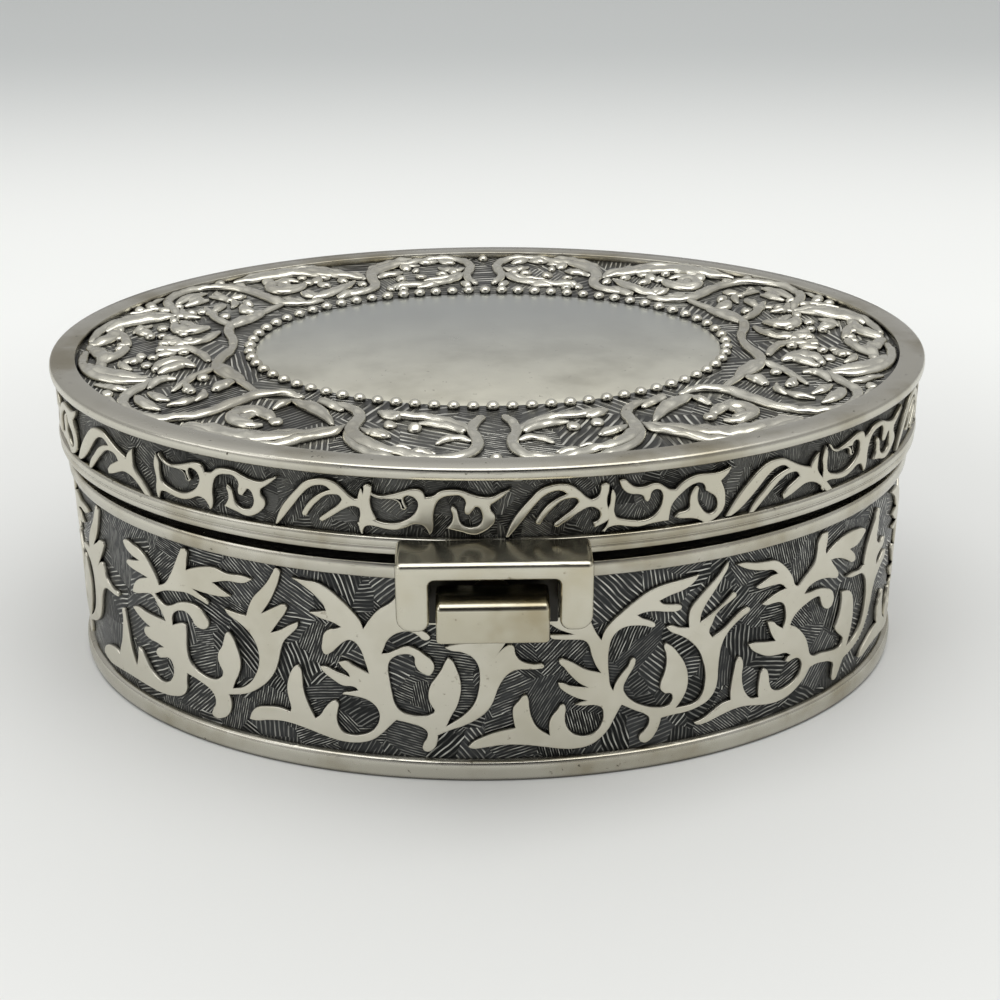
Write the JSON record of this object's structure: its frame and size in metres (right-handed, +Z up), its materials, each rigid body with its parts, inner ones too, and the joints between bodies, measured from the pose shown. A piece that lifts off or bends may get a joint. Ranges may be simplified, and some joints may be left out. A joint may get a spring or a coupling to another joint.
{
  "type": "rosary box",
  "caption": "Oval metal keepsake box with scrollwork sides, a hinged lid with a beaded oval plate, and a push-button clasp.",
  "frame": {"origin": "middle of the underside, at the centre of the oval, on the plane that the box rests on", "axes": "+Z up, +X along the oval's length to the right seen from the clasp, the clasp on -Y and the hinge on +Y"},
  "size_m": [0.15, 0.1233, 0.0555],
  "materials": {
    "cast_silver": "antique silver plate on a zinc casting, bright on the high parts and blackened in the ground",
    "plate_silver": "satin silver plate with faint scratches",
    "bead_silver": "polished silver beads with dark between them",
    "clasp_silver": "worn silver plate, slightly yellowed",
    "hinge_silver": "satin silver plate, worn on the knuckles",
    "fastener_steel": "small plated heads",
    "latch_steel": "bare spring steel, lightly oiled",
    "bush_brass": "turned brass",
    "base_steel": "plain sheet",
    "felt": "black wool felt",
    "velvet": "black velvet",
    "card": "grey-brown board"
  },
  "bodies": {
    "box": {"body_shell": "cast_silver", "base_plate": "base_steel", "base_felt": "felt", "wall_lining": "velvet", "base_board": "card", "base_pad": "velvet", "latch_bush": "bush_brass", "latch_spring": "latch_steel", "latch_housing": "latch_steel", "housing_screws": "fastener_steel", "hinge_leaf_body": "hinge_silver", "hinge_screws_body": "fastener_steel", "hinge_pin": "hinge_silver"},
    "lid": {"lid_shell": "cast_silver", "cover_plate": "plate_silver", "bead_border": "bead_silver", "clasp_bracket": "clasp_silver", "bracket_screws": "fastener_steel", "lid_striker": "latch_steel", "striker_rivets": "fastener_steel", "hinge_leaf_lid": "hinge_silver", "hinge_screws_lid": "fastener_steel", "lid_board": "card", "lid_pad": "velvet", "lid_lining": "velvet"},
    "button": {"push_button": "clasp_silver", "button_stem": "latch_steel", "latch_hook": "latch_steel", "hook_clip": "latch_steel"}
  },
  "joints": [
    {"name": "lid_hinge", "type": "hinge", "parent": "box", "child": "lid", "pos_m": [0, 0.0579, 0.03905], "axis": [-1, 0, 0], "range_deg": [0, 100]},
    {"name": "button_press", "type": "slide", "parent": "box", "child": "button", "axis": [0, 1, 0], "range_m": [0, 0.0016], "stiffness_N_per_m": 900, "springref_m": -0.0015, "deforming": ["latch_spring"]}
  ]
}
